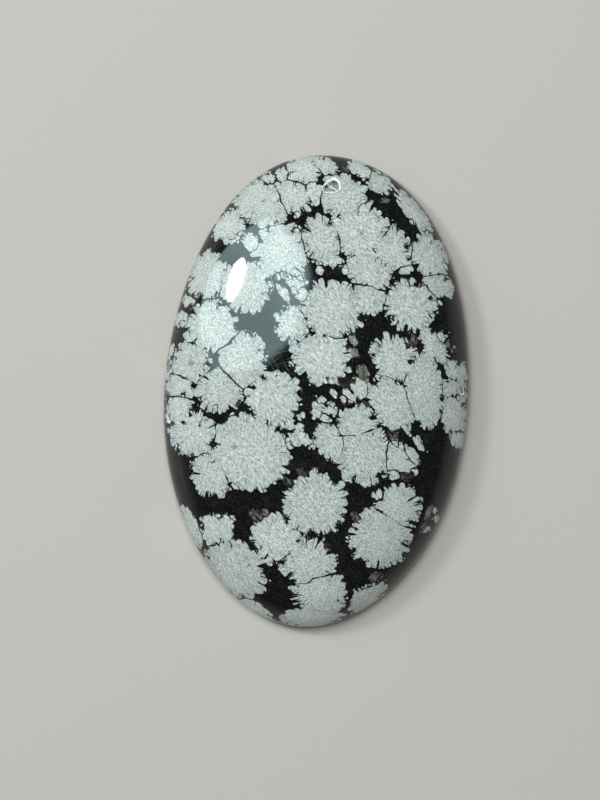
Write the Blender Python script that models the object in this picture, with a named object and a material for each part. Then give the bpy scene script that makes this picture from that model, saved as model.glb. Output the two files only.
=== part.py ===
"""Snowflake obsidian cabochon: an oval domed stone, cut and polished in one piece, lying on its flat back.

The origin is at the centre of the back. The long axis runs along +Y and the dome rises along +Z.
All lengths are in metres and all angles in radians.
"""

import math

import bmesh
import bpy
from mathutils import Vector

# Overall size of the stone
LENGTH = 0.0460
WIDTH = 0.0296
HEIGHT = 0.0074

# Edge of the stone: a narrow bevel rises from the back to a thin upright girdle, where the outline is widest
BEVEL_WIDTH = 0.00050
BEVEL_RISE = 0.00040
GIRDLE_RISE = 0.00035
EDGE_ROUNDING = 0.00010
ROUNDING_STEPS = 2

# Dome: an arch a little fuller than an ellipse. 2 would be the ellipse itself
DOME_POWER = 2.15
DOME_RINGS = 24
POINTS_PER_RING = 6

# Hand grinding leaves the oval a little uneven: waves round the outline, their height as a share of
# the radius, and the angle of a crest
OUTLINE_WAVES = (
    (4, 0.0029, math.radians(38.4)),
    (5, 0.0053, math.radians(48.6)),
)

# Chip near the top end: a shallow shell-shaped scar, as glass breaks
CHIP_PLACE = (-0.0001, 0.0201)
CHIP_ACROSS = 0.00175
CHIP_DEPTH = 0.00020
CHIP_BALL_SUBDIVISIONS = 4

# Finish of the polished stone, pale flakes and black glass taken together
STONE_COLOR = (0.24, 0.26, 0.25, 1.0)
STONE_ROUGHNESS = 0.06
GLASS_IOR = 1.49

GIRDLE_TOP = BEVEL_RISE + GIRDLE_RISE
DOME_RISE = HEIGHT - GIRDLE_TOP


def clear_scene():
    for obj in list(bpy.data.objects):
        bpy.data.objects.remove(obj, do_unlink=True)


def outline_point(angle, half_width, half_length):
    """Point of the uneven oval at this angle, for these half-sizes."""
    swell = 1.0
    for count, height, crest in OUTLINE_WAVES:
        swell += height * math.cos(count * (angle - crest))
    return half_width * swell * math.cos(angle), half_length * swell * math.sin(angle)


def outline_middle():
    """Centre of the box around the full outline, which the origin is set to."""
    steps = 720
    points = [outline_point(2 * math.pi * i / steps, WIDTH / 2, LENGTH / 2) for i in range(steps)]
    xs = [x for x, _ in points]
    ys = [y for _, y in points]
    return (min(xs) + max(xs)) / 2, (min(ys) + max(ys)) / 2


def ring(mesh, count, half_width, half_length, height, middle):
    """One level ring of vertices, evenly spaced in angle."""
    verts = []
    for i in range(count):
        x, y = outline_point(2 * math.pi * i / count, half_width, half_length)
        verts.append(mesh.verts.new((x - middle[0], y - middle[1], height)))
    return verts


def arch(turn):
    """Share of the half-width and of the rise where the dome's arch has turned this far from its rim."""
    return math.cos(turn) ** (2 / DOME_POWER), math.sin(turn) ** (2 / DOME_POWER)


def fill_dome(mesh, rim, middle):
    """Rings of triangles from the rim up to the top, each ring with six points fewer than the last."""
    outer = rim
    for level in range(DOME_RINGS - 1, -1, -1):
        share, rise = arch(math.pi / 2 * (1 - level / DOME_RINGS))
        height = GIRDLE_TOP + DOME_RISE * rise
        if level:
            inner = ring(mesh, POINTS_PER_RING * level, WIDTH / 2 * share, LENGTH / 2 * share, height, middle)
        else:
            inner = [mesh.verts.new((-middle[0], -middle[1], HEIGHT))]
        for sector in range(POINTS_PER_RING):
            for i in range(level + 1):
                start = outer[sector * (level + 1) + i]
                end = outer[(sector * (level + 1) + i + 1) % len(outer)]
                tip = inner[(sector * level + i) % len(inner)]
                mesh.faces.new((start, end, tip))
                if i < level:
                    mesh.faces.new((tip, end, inner[(sector * level + i + 1) % len(inner)]))
        outer = inner


def join_rings(mesh, lower, upper):
    count = len(lower)
    for i in range(count):
        j = (i + 1) % count
        mesh.faces.new((lower[i], lower[j], upper[j], upper[i]))


def loop_edges(mesh, verts):
    return [mesh.edges.get((verts[i], verts[i - 1])) for i in range(len(verts))]


def stone_mesh():
    """Closed body of the stone: flat back, bevel, girdle and dome."""
    mesh = bmesh.new()
    middle = outline_middle()
    count = POINTS_PER_RING * DOME_RINGS
    back = ring(mesh, count, WIDTH / 2 - BEVEL_WIDTH, LENGTH / 2 - BEVEL_WIDTH, 0.0, middle)
    girdle = ring(mesh, count, WIDTH / 2, LENGTH / 2, BEVEL_RISE, middle)
    rim = ring(mesh, count, WIDTH / 2, LENGTH / 2, GIRDLE_TOP, middle)
    mesh.faces.new(list(reversed(back)))
    join_rings(mesh, back, girdle)
    join_rings(mesh, girdle, rim)
    fill_dome(mesh, rim, middle)
    bmesh.ops.bevel(
        mesh,
        geom=loop_edges(mesh, back) + loop_edges(mesh, girdle),
        offset=EDGE_ROUNDING,
        segments=ROUNDING_STEPS,
        profile=0.5,
        affect="EDGES",
    )
    bmesh.ops.recalc_face_normals(mesh, faces=mesh.faces)
    return mesh


def dome_height(x, y):
    """Height of the dome over a point of the plan, taking the outline as a plain oval."""
    share = math.hypot(2 * x / WIDTH, 2 * y / LENGTH)
    return GIRDLE_TOP + DOME_RISE * (1 - share**DOME_POWER) ** (1 / DOME_POWER)


def dome_normal(x, y):
    step = 1e-5
    slope_x = (dome_height(x + step, y) - dome_height(x - step, y)) / (2 * step)
    slope_y = (dome_height(x, y + step) - dome_height(x, y - step)) / (2 * step)
    return Vector((-slope_x, -slope_y, 1.0)).normalized()


def obsidian_material():
    """Polished volcanic glass with pale crystal flakes, as one even tone."""
    material = bpy.data.materials.new("snowflake_obsidian")
    material.use_nodes = True
    shader = material.node_tree.nodes["Principled BSDF"]
    shader.inputs["Base Color"].default_value = STONE_COLOR
    shader.inputs["Metallic"].default_value = 0.0
    shader.inputs["Roughness"].default_value = STONE_ROUGHNESS
    shader.inputs["IOR"].default_value = GLASS_IOR
    return material


def make_stone():
    mesh = stone_mesh()
    data = bpy.data.meshes.new("cabochon")
    mesh.to_mesh(data)
    mesh.free()
    data.materials.append(obsidian_material())
    stone = bpy.data.objects.new("cabochon", data)
    bpy.context.scene.collection.objects.link(stone)
    data.shade_smooth()
    data.set_sharp_from_angle(angle=math.radians(30))
    return stone


def make_chip_cutter():
    """Ball whose cap scoops the chip: its radius follows from the chip's width and depth."""
    radius = (CHIP_ACROSS**2 / 4 + CHIP_DEPTH**2) / (2 * CHIP_DEPTH)
    x, y = CHIP_PLACE
    surface = Vector((x, y, dome_height(x, y)))
    mesh = bmesh.new()
    bmesh.ops.create_icosphere(mesh, subdivisions=CHIP_BALL_SUBDIVISIONS, radius=radius)
    data = bpy.data.meshes.new("chip_cutter")
    mesh.to_mesh(data)
    mesh.free()
    cutter = bpy.data.objects.new("chip_cutter", data)
    cutter.location = surface + dome_normal(x, y) * (radius - CHIP_DEPTH)
    cutter.hide_render = True
    cutter.display_type = "WIRE"
    bpy.context.scene.collection.objects.link(cutter)
    return cutter


def cut_chip(stone, cutter):
    boolean = stone.modifiers.new("chip", "BOOLEAN")
    boolean.operation = "DIFFERENCE"
    boolean.solver = "EXACT"
    boolean.object = cutter


def main():
    clear_scene()
    stone = make_stone()
    cut_chip(stone, make_chip_cutter())


main()
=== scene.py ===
# %% [markdown]
# # Snowflake obsidian cabochon
# A cabochon is a stone ground to a smooth dome over a flat back. This one is black volcanic glass in which pale
# crystals grew as small balls of needles. Where the polished face cuts through a ball, it shows as a round, lobed
# flake. This notebook loads the measured solid, sets the camera, builds the polished stone over the solid as one
# finely meshed piece, grows the flakes through it, and then sets the lights.

import math

import bmesh
import bpy
import numpy as np
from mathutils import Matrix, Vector
from mathutils.kdtree import KDTree


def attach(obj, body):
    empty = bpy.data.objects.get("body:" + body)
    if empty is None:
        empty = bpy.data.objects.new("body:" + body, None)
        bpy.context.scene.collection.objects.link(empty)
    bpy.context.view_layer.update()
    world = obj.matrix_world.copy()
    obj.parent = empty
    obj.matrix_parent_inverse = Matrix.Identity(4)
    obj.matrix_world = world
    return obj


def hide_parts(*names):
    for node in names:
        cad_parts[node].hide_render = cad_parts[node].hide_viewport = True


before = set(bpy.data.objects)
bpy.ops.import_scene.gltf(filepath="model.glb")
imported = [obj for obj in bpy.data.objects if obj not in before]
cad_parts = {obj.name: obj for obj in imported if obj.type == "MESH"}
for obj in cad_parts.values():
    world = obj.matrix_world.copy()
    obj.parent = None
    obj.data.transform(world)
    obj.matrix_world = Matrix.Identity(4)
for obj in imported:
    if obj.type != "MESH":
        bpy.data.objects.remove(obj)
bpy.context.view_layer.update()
MM = 0.001

# %% [markdown]
# ## Sizes of the stone
# The sizes are the solid's own. The outline is an oval that free grinding has left a little uneven, so it is written
# as an even oval whose radius swells and shrinks in a few slow waves. The dome is an arch that is slightly fuller
# than an ellipse.

# %% Sizes and outline
STONE_LENGTH = 46.0 * MM
STONE_WIDTH = 29.6 * MM
STONE_HEIGHT = 7.4 * MM
BEVEL_WIDTH = 0.50 * MM
BEVEL_RISE = 0.40 * MM
GIRDLE_TOP = 0.75 * MM
DOME_RISE = STONE_HEIGHT - GIRDLE_TOP
DOME_POWER = 2.15
OUTLINE_WAVES = ((4, 0.0029, math.radians(38.4)), (5, 0.0053, math.radians(48.6)))


def swell(angle):
    """Radius of the uneven oval at this angle, as a share of the even oval's."""
    return 1 + sum(height * np.cos(count * (angle - crest)) for count, height, crest in OUTLINE_WAVES)


turn = np.linspace(0, 2 * np.pi, 720, endpoint=False)
outline_x = STONE_WIDTH / 2 * swell(turn) * np.cos(turn)
outline_y = STONE_LENGTH / 2 * swell(turn) * np.sin(turn)
MIDDLE = Vector(((outline_x.min() + outline_x.max()) / 2, (outline_y.min() + outline_y.max()) / 2, 0))
print("outline, mm:", round(np.ptp(outline_x) / MM, 2), "by", round(np.ptp(outline_y) / MM, 2))

# %% [markdown]
# ## Camera
# The stone is seen from straight above, and leans four degrees in the picture. A long lens from further away keeps
# the rim as thin as it looks in the photograph. The camera comes first, because it also tells which point of the
# dome lies behind a given point of the picture, and so where each flake goes.

# %% Camera straight above
PICTURE = (600, 800)
STONE_MIDDLE_IN_PICTURE = (316.4, 391.3)
PIXELS_PER_MM = 10.29
LEAN = math.radians(3.96)
LENS = 0.200
SENSOR = 0.036

camera_height = PICTURE[1] / PIXELS_PER_MM * MM * LENS / SENSOR


def picture_ray(column, row):
    """Way from the camera through a point of the picture, per metre down."""
    across = (column - PICTURE[0] / 2) / PICTURE[1] * SENSOR / LENS
    up = (PICTURE[1] / 2 - row) / PICTURE[1] * SENSOR / LENS
    return Vector((
        across * math.cos(LEAN) - up * math.sin(LEAN),
        across * math.sin(LEAN) + up * math.cos(LEAN),
        -1.0,
    ))


camera_data = bpy.data.cameras.new("camera")
camera_data.lens = LENS / MM
camera_data.sensor_width = SENSOR / MM
camera = bpy.data.objects.new("camera", camera_data)
camera.location = Vector((0, 0, GIRDLE_TOP)) - camera_height * picture_ray(*STONE_MIDDLE_IN_PICTURE)
camera.rotation_euler = (0, 0, LEAN)
bpy.context.scene.collection.objects.link(camera)
bpy.context.scene.camera = camera
print("camera, mm:", [round(place / MM, 1) for place in camera.location])

# %% [markdown]
# ## From the picture to the dome
# The height of the dome above any point of the plan follows from its arch. With it, a ray from the camera is followed
# down to the dome in a few steps, each of which takes the height that the step before found.

# %% Point of the dome behind a point of the picture
RAY_STEPS = 6


def dome_height(x, y):
    """Height of the dome above a point of the plan, or of the girdle outside it."""
    share = min(math.hypot(2 * x / STONE_WIDTH, 2 * y / STONE_LENGTH), 1.0)
    return GIRDLE_TOP + DOME_RISE * (1 - share**DOME_POWER) ** (1 / DOME_POWER)


def dome_normal(x, y):
    step = 0.01 * MM
    slope_x = (dome_height(x + step, y) - dome_height(x - step, y)) / (2 * step)
    slope_y = (dome_height(x, y + step) - dome_height(x, y - step)) / (2 * step)
    return Vector((-slope_x, -slope_y, 1)).normalized()


def dome_point(column, row):
    """Point of the dome that this point of the picture shows."""
    ray = picture_ray(column, row)
    height = GIRDLE_TOP
    for _ in range(RAY_STEPS):
        place = camera.location + ray * (camera.location.z - height)
        height = dome_height(place.x, place.y)
    return Vector((place.x, place.y, height))


behind_middle = dome_point(PICTURE[0] / 2, PICTURE[1] / 2)
print("behind the middle of the picture, mm:", [round(value / MM, 2) for value in behind_middle])

# %% [markdown]
# ## A net for the whole surface
# A mirror-like stone shows every flaw of its mesh, so the surface is one closed net of fine rows: from the top of the
# dome down to the rim, over the girdle and the bevel with their rounded corners, and across the flat back. Two helpers
# come first. One rounds a corner of the edge's profile, and one zips neighbouring rows together with triangles,
# however many points each has.

# %% Helpers for the net
CORNER_CUT = 0.14 * MM
CORNER_STEPS = 5


def rounded_corner(before, corner, after):
    """Points of a soft curve that cuts this corner of the edge's profile."""
    start = corner + (before - corner).normalized() * CORNER_CUT
    end = corner + (after - corner).normalized() * CORNER_CUT
    for step in range(CORNER_STEPS + 1):
        t = step / CORNER_STEPS
        yield start * (1 - t) ** 2 + corner * 2 * t * (1 - t) + end * t**2


def zip_rows(upper, lower):
    """Triangles between two closed rows of points, stepping along whichever row is behind."""
    i = j = 0
    while (i < len(upper) and len(upper) > 1) or (j < len(lower) and len(lower) > 1):
        lower_next = len(lower) > 1 and (j + 1) * len(upper) <= (i + 1) * len(lower)
        if lower_next and j < len(lower) or len(upper) == 1 or i == len(upper):
            yield upper[i % len(upper)], lower[j % len(lower)], lower[(j + 1) % len(lower)]
            j += 1
        else:
            yield upper[i % len(upper)], lower[j % len(lower)], upper[(i + 1) % len(upper)]
            i += 1


print("points in a rounded corner:", CORNER_STEPS + 1)

# %% [markdown]
# ### Rows from the top to the back
# A row is written as its number of points, how far it has turned up the arch, its share of the full size, how far it
# is set in from the outline, and how high it lies. Rows gain six points each from the top down to the rim, and the
# rows of the back lose them again.

# %% Rows
DOME_ROWS = 140
BACK_ROWS = 40
POINTS_PER_ROW = 6

rim_count = DOME_ROWS * POINTS_PER_ROW
rows = []
for level in range(DOME_ROWS + 1):
    climb = math.pi / 2 * (1 - level / DOME_ROWS)
    rows.append((max(level * POINTS_PER_ROW, 1), climb, 1.0, 0.0, GIRDLE_TOP))
rim = Vector((0, GIRDLE_TOP))
girdle_foot = Vector((0, BEVEL_RISE))
bevel_foot = Vector((BEVEL_WIDTH, 0))
back_inside = Vector((2 * BEVEL_WIDTH, 0))
profile = [*rounded_corner(rim, girdle_foot, bevel_foot), *rounded_corner(girdle_foot, bevel_foot, back_inside)]
rows += [(rim_count, 0.0, 1.0, inset, rise) for inset, rise in profile]
for level in range(BACK_ROWS - 1, -1, -1):
    rows.append((max(level * POINTS_PER_ROW, 1), 0.0, level / BACK_ROWS, profile[-1].x, 0.0))
print("rows:", len(rows))

# %% [markdown]
# ### The blank
# The rows are first made as a plain blank. Its points only know their angle, and carry the four values of their row
# with them, so that the sizes of the stone can still be chosen when it is cut.

# %% Blank
points, shares, faces = [], [], []
row_before = None
for number, (count, climb, share, inset, rise) in enumerate(rows):
    reach = share * max(math.cos(climb), 0.0) ** (2 / DOME_POWER) if count > 1 else 0.0
    row = list(range(len(points), len(points) + count))
    for i in range(count):
        angle = 2 * math.pi * i / count
        points.append((reach * math.cos(angle), reach * math.sin(angle), DOME_ROWS - number))
        shares.append((climb, share, inset, rise))
    if row_before:
        faces += zip_rows(row_before, row)
    row_before = row

blank_mesh = bpy.data.meshes.new("cabochon_blank")
blank_mesh.from_pydata(points, [], faces)
SHARE_NAMES = ("climb", "share", "inset", "rise")
for name, values in zip(SHARE_NAMES, np.array(shares, dtype=np.float32).T):
    blank_mesh.attributes.new(name, "FLOAT", "POINT").data.foreach_set("value", np.ascontiguousarray(values))
print("net:", len(points), "points,", len(faces), "triangles in", len(rows), "rows")

# %% [markdown]
# ## Finer net where the stone is damaged
# A chip near the top end and three small pits are less than two millimetres across. The net is divided again around
# them, while it is still a blank, so that the new points also land exactly on the dome.

# %% Chip and pits
CHIP_PLACE = (331.5, 186.5)
PIT_PLACES = ((169.3, 416.8), (461.5, 389.5), (393.5, 320.0))
CHIP_ZONE = 1.25 * MM
PIT_ZONE = 0.70 * MM
FINER_CUTS = 3

zones = [(dome_point(*CHIP_PLACE), CHIP_ZONE)] + [(dome_point(*place), PIT_ZONE) for place in PIT_PLACES]
net = bmesh.new()
net.from_mesh(blank_mesh)
near = set()
for edge in net.edges:
    x, y, z = (edge.verts[0].co + edge.verts[1].co) / 2
    place = Vector((x * STONE_WIDTH / 2, y * STONE_LENGTH / 2))
    if z > 0 and any((place - zone.xy).length < size for zone, size in zones):
        near.add(edge)
bmesh.ops.subdivide_edges(net, edges=list(near), cuts=FINER_CUTS, use_grid_fill=True)
bmesh.ops.triangulate(net, faces=net.faces)
net.to_mesh(blank_mesh)
net.free()
blank = bpy.data.objects.new("cabochon_blank", blank_mesh)
bpy.context.scene.collection.objects.link(blank)
print("net with finer zones:", len(blank_mesh.polygons), "triangles")

# %% [markdown]
# ## One helper for every node
# Shapes and finishes are both made of nodes here. One small function adds a node, changes its settings and fills its
# inputs, so that each line below reads as one step of the recipe. The kinds that come up often get short names.

# %% Helper that adds a node
MATH, VECTOR_MATH = "ShaderNodeMath", "ShaderNodeVectorMath"
RANGE, MIX, SPLIT, COMBINE = "ShaderNodeMapRange", "ShaderNodeMix", "ShaderNodeSeparateXYZ", "ShaderNodeCombineXYZ"
NOISE, VORONOI, RED = "ShaderNodeTexNoise", "ShaderNodeTexVoronoi", "ShaderNodeSeparateColor"


def add(tree, kind, *values, out=0, op=None, **settings):
    """Adds a node and returns one of its outputs, or all of them where out is None.

    A value goes to the input in the same place, and a dictionary gives inputs by name. A socket is linked, None
    leaves the input alone, and anything else is typed in. The node's operation is given as op.
    """
    node = tree.nodes.new(kind)
    if op:
        node.operation = op
    for name, setting in settings.items():
        setattr(node, name, setting)
    free = [socket for socket in node.inputs if socket.enabled]
    pairs = []
    for place, value in enumerate(values):
        if isinstance(value, dict):
            pairs += [(next(s for s in free if s.name == name), inner) for name, inner in value.items()]
        else:
            pairs.append((free[place], value))
    for socket, value in pairs:
        if isinstance(value, bpy.types.NodeSocket):
            tree.links.new(value, socket)
        elif value is not None:
            socket.default_value = value
    if out is None or not node.outputs:
        return node.outputs
    if isinstance(out, str):
        return next(socket for socket in node.outputs if socket.name == out and socket.enabled)
    return [socket for socket in node.outputs if socket.enabled][out]


def new_tree(name, kind, inputs, outputs):
    """A node group with these named inputs and outputs. Returns it and what its inputs give."""
    tree = bpy.data.node_groups.new(name, kind)
    for side, sockets in (("INPUT", inputs), ("OUTPUT", outputs)):
        for label, socket_kind in sockets.items():
            tree.interface.new_socket(label, in_out=side, socket_type="NodeSocket" + socket_kind)
    return tree, tree.nodes.new("NodeGroupInput").outputs


def apply_tree(piece, tree, values):
    """Runs a geometry tree on a piece with these inputs, and returns the result as a plain mesh."""
    modifier = piece.modifiers.new(tree.name, "NODES")
    modifier.node_group = tree
    sockets = {item.name: item.identifier for item in tree.interface.items_tree if item.in_out == "INPUT"}
    for label, value in values.items():
        modifier[sockets[label]] = value
    evaluated = piece.evaluated_get(bpy.context.evaluated_depsgraph_get())
    mesh = bpy.data.meshes.new_from_object(evaluated)
    piece.modifiers.remove(modifier)
    return mesh


print("short names for nodes:", MATH, VECTOR_MATH, RANGE, MIX, SPLIT, COMBINE, NOISE, VORONOI, RED)

# %% [markdown]
# ## Cut and polish
# A stone cutter rocks the stone against a wheel, which gives the same arch in every direction. The tree does this by
# rule: each point of the blank is sent to its place on the uneven oval and on the arch. Length, width, rise and
# fullness are inputs, so the same tree could cut any other oval cabochon.

# %% Tree that cuts the dome
cut, given = new_tree(
    "cut and polish",
    "GeometryNodeTree",
    {
        "Blank": "Geometry",
        "Length": "Float",
        "Width": "Float",
        "Dome rise": "Float",
        "Dome power": "Float",
        "Middle": "Vector",
        "Finish": "Material",
    },
    {"Stone": "Geometry"},
)
known = {
    name: add(cut, "GeometryNodeInputNamedAttribute", {"Name": name}, data_type="FLOAT") for name in SHARE_NAMES
}
place = add(cut, SPLIT, add(cut, "GeometryNodeInputPosition"), out=None)
angle = add(cut, MATH, place["Y"], place["X"], op="ARCTAN2")
radius_share = 1.0
for count, height, crest in OUTLINE_WAVES:
    phase = add(cut, MATH, angle, float(count), -count * crest, op="MULTIPLY_ADD")
    wave = add(cut, MATH, phase, op="COSINE")
    radius_share = add(cut, MATH, wave, height, radius_share, op="MULTIPLY_ADD")
exponent = add(cut, MATH, 2.0, given["Dome power"], op="DIVIDE")
cosine = add(cut, MATH, add(cut, MATH, known["climb"], op="COSINE"), 0.0, op="MAXIMUM")
sine = add(cut, MATH, known["climb"], op="SINE")
radius_share = add(cut, MATH, radius_share, known["share"], op="MULTIPLY")
arch_share = add(cut, MATH, cosine, exponent, op="POWER")
radius_share = add(cut, MATH, radius_share, arch_share, op="MULTIPLY")
placed = []
for size, way in (("Width", "COSINE"), ("Length", "SINE")):
    half = add(cut, MATH, given[size], 0.5, op="MULTIPLY")
    half = add(cut, MATH, half, known["inset"], op="SUBTRACT")
    half = add(cut, MATH, half, radius_share, op="MULTIPLY")
    placed.append(add(cut, MATH, half, add(cut, MATH, angle, op=way), op="MULTIPLY"))
arch_rise = add(cut, MATH, sine, exponent, op="POWER")
placed.append(add(cut, MATH, arch_rise, given["Dome rise"], known["rise"], op="MULTIPLY_ADD"))
position = add(cut, COMBINE, *placed)
position = add(cut, VECTOR_MATH, position, given["Middle"], op="SUBTRACT")
shaped = add(cut, "GeometryNodeSetPosition", {"Geometry": given["Blank"], "Position": position})
smooth = add(cut, "GeometryNodeSetShadeSmooth", {"Geometry": shaped})
real = add(cut, "GeometryNodeRealizeInstances", smooth)
finished = add(cut, "GeometryNodeSetMaterial", {"Geometry": real, "Material": given["Finish"]})
add(cut, "NodeGroupOutput", finished)
print("cutting tree:", len(cut.nodes), "nodes")

# %% [markdown]
# ### The stone itself
# The tree runs on the blank with the solid's sizes, and the result is kept as one plain closed mesh, because the real
# stone is one piece too. Its material is named now and gets its nodes further down.

# %% Cut the stone
obsidian = bpy.data.materials.new("polished_snowflake_obsidian")
stone_mesh = apply_tree(
    blank,
    cut,
    {
        "Length": STONE_LENGTH,
        "Width": STONE_WIDTH,
        "Dome rise": DOME_RISE,
        "Dome power": DOME_POWER,
        "Middle": MIDDLE,
        "Finish": obsidian,
    },
)
stone_mesh.name = "polished_cabochon"
stone = bpy.data.objects.new("polished_cabochon", stone_mesh)
bpy.context.scene.collection.objects.link(stone)
bpy.data.objects.remove(blank)
print("stone:", len(stone_mesh.polygons), "triangles, materials", [m.name for m in stone_mesh.materials])

# %% [markdown]
# ## Damage, in the picture's own measure
# Glass breaks in shells: a knock leaves a shallow scoop with a steep wall, fine ripples and a crushed, whitish lip.
# Its places are read from the picture, so two helpers come first. One says where each point of the surface lies in
# the picture, from a chosen middle, and one turns a straight rise into a soft step.

# %% Helpers for the damage
FAR = 9.0
RIPPLE = 0.012

count = len(stone_mesh.vertices)
surface = np.empty(count * 3)
stone_mesh.vertices.foreach_get("co", surface)
surface = surface.reshape(-1, 3) / MM
normals = np.empty(count * 3, dtype=np.float32)
stone_mesh.vertex_normals.foreach_get("vector", normals)
normals = normals.reshape(-1, 3)
on_dome = surface[:, 2] > GIRDLE_TOP / MM


def picture_offsets(column, row, turned=0.0):
    """How far right and up of this point of the picture each point of the surface lies, in pixels."""
    spot = dome_point(column, row) / MM
    x, y = (surface[:, 0] - spot.x) * PIXELS_PER_MM, (surface[:, 1] - spot.y) * PIXELS_PER_MM
    turned += LEAN
    return x * math.cos(turned) + y * math.sin(turned), y * math.cos(turned) - x * math.sin(turned)


def slope(values):
    """Turns values into a soft step from 0 to 1."""
    part = np.clip(values, 0, 1)
    return part * part * (3 - 2 * part)


print("points of the surface on the dome:", int(on_dome.sum()))

# %% [markdown]
# ### The chip
# The chip broke along short straight lines, so it is drawn as corners, each with the width of the crushed lip along
# the side that starts there. A sharp ridge runs across its floor. It is given by its middle, half its length, half its
# width, and its lean in degrees. Lengths in the plan are in pixels, and the depth is in millimetres.

# %% Chip
CHIP_CORNERS = (
    (321.8, 187.2, 1.3), (324.4, 183.0, 2.2), (328.1, 179.4, 2.6), (333.1, 176.4, 2.8), (337.2, 178.0, 2.1),
    (340.4, 181.8, 1.8), (341.0, 188.8, 1.2), (337.0, 191.8, 1.0), (334.5, 192.9, 1.5), (323.6, 192.9, 1.2),
)
RIDGE_COLUMN, RIDGE_ROW, RIDGE_HALF_LENGTH, RIDGE_HALF_WIDTH, RIDGE_DEGREES = 333.7, 187.9, 6.0, 0.9, -37
RIDGE_HEIGHT = 0.05
CHIP_DEPTH = 0.14
CHIP_WALL = 3.5
SIDE_SOFTNESS = 0.9

right, up = picture_offsets(*CHIP_PLACE)
jagged = 0.35 * np.sin(2.1 * right + 0.6 * up) * np.sin(1.7 * up - 0.5 * right)
inward = np.where(on_dome, FAR, -FAR)
crushed = np.zeros(count)
next_corners = CHIP_CORNERS[1:] + CHIP_CORNERS[:1]
for (column, row, lip_width), (next_column, next_row, _) in zip(CHIP_CORNERS, next_corners):
    side = Vector((next_column - column, row - next_row)).normalized()
    from_corner = right - (column - CHIP_PLACE[0]), up - (CHIP_PLACE[1] - row)
    from_side = from_corner[0] * side.y - from_corner[1] * side.x + jagged
    inward = np.minimum(inward, from_side)
    crushed = np.maximum(crushed, slope((lip_width - from_side) / SIDE_SOFTNESS + 0.5))
inside = slope(inward / SIDE_SOFTNESS + 0.4)
along, across = picture_offsets(RIDGE_COLUMN, RIDGE_ROW, math.radians(RIDGE_DEGREES))
ridge = slope(1.3 - np.abs(across) / RIDGE_HALF_WIDTH) * slope(3 - 3 * np.abs(along) / RIDGE_HALF_LENGTH)
crushed = np.maximum(crushed, 0.8 * ridge) * inside
broken_clean = (1 - crushed) * inside
ripples = RIPPLE * np.sin(1.9 * (right + up))
pushed = inside * (CHIP_DEPTH * slope(inward / CHIP_WALL) - RIDGE_HEIGHT * ridge + ripples)
print("points in the chip:", int((inside > 0).sum()))

# %% [markdown]
# ### The pits
# Each pit is one small scoop: its place, half its length, half its width, its lean in degrees, and its depth in
# millimetres. Two slow waves keep its rim from being a plain oval, and one side of the rim is crushed white.

# %% Pits
PIT_SCOOPS = (
    (*PIT_PLACES[0], 5.2, 2.2, 85, 0.12),
    (*PIT_PLACES[1], 5.4, 1.9, -72, 0.10),
    (*PIT_PLACES[2], 2.7, 1.9, -40, 0.07),
)
for column, row, half_length, half_width, degrees, depth in PIT_SCOOPS:
    along, across = picture_offsets(column, row, math.radians(degrees))
    along, across = along / half_length, across / half_width
    way_round = np.arctan2(across, along)
    out = np.hypot(along, across) * (1 + 0.09 * np.sin(3 * way_round + 1) + 0.06 * np.sin(5 * way_round + column))
    out[~on_dome] = FAR
    pushed += slope((1 - out) / 0.5) * (depth + RIPPLE * np.sin(out * 14 + 3 * along))
    one_side = slope(0.75 - 0.6 * np.sin(way_round + math.radians(degrees)))
    crushed = np.maximum(crushed, slope(1 - np.abs(out - 0.95) / 0.4) * one_side)
    broken_clean = np.maximum(broken_clean, slope((0.95 - out) / 0.35))
crushed *= 1 - 0.8 * broken_clean
print("pits:", len(PIT_SCOOPS))

# %% [markdown]
# ### Pressed in and marked
# The points of the net are pushed in along their normals. Four marks are kept on them for the finish: where the stone
# is crushed white, where it is broken clean, where one of four flakes shows the darker heart that it grew from, and
# where the polish is worn by fine scratches.

# %% Damage pressed in
HEARTS = ((361, 233, 3.4), (191, 363, 3.8), (234, 446, 3.0), (264, 201, 2.4))
WORN_PLACE = (281, 356)
WORN_SIZE = 22

surface -= normals * pushed[:, None]
stone_mesh.vertices.foreach_set("co", (surface * MM).ravel())
worn = slope(1.5 - np.hypot(*picture_offsets(*WORN_PLACE)) / WORN_SIZE) * on_dome
heart = np.zeros(count)
for column, row, size in HEARTS:
    heart = np.maximum(heart, slope(1.3 - np.hypot(*picture_offsets(column, row)) / size) * on_dome)
for name, values in (("lip", crushed), ("scar", broken_clean), ("heart", heart), ("worn", worn)):
    layer = stone_mesh.attributes.new(name, "FLOAT", "POINT")
    layer.data.foreach_set("value", values.astype(np.float32))
stone_mesh.update()
print("points pushed in:", int((pushed > 0).sum()), "deepest, mm:", round(float(pushed.max()), 3))
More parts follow.
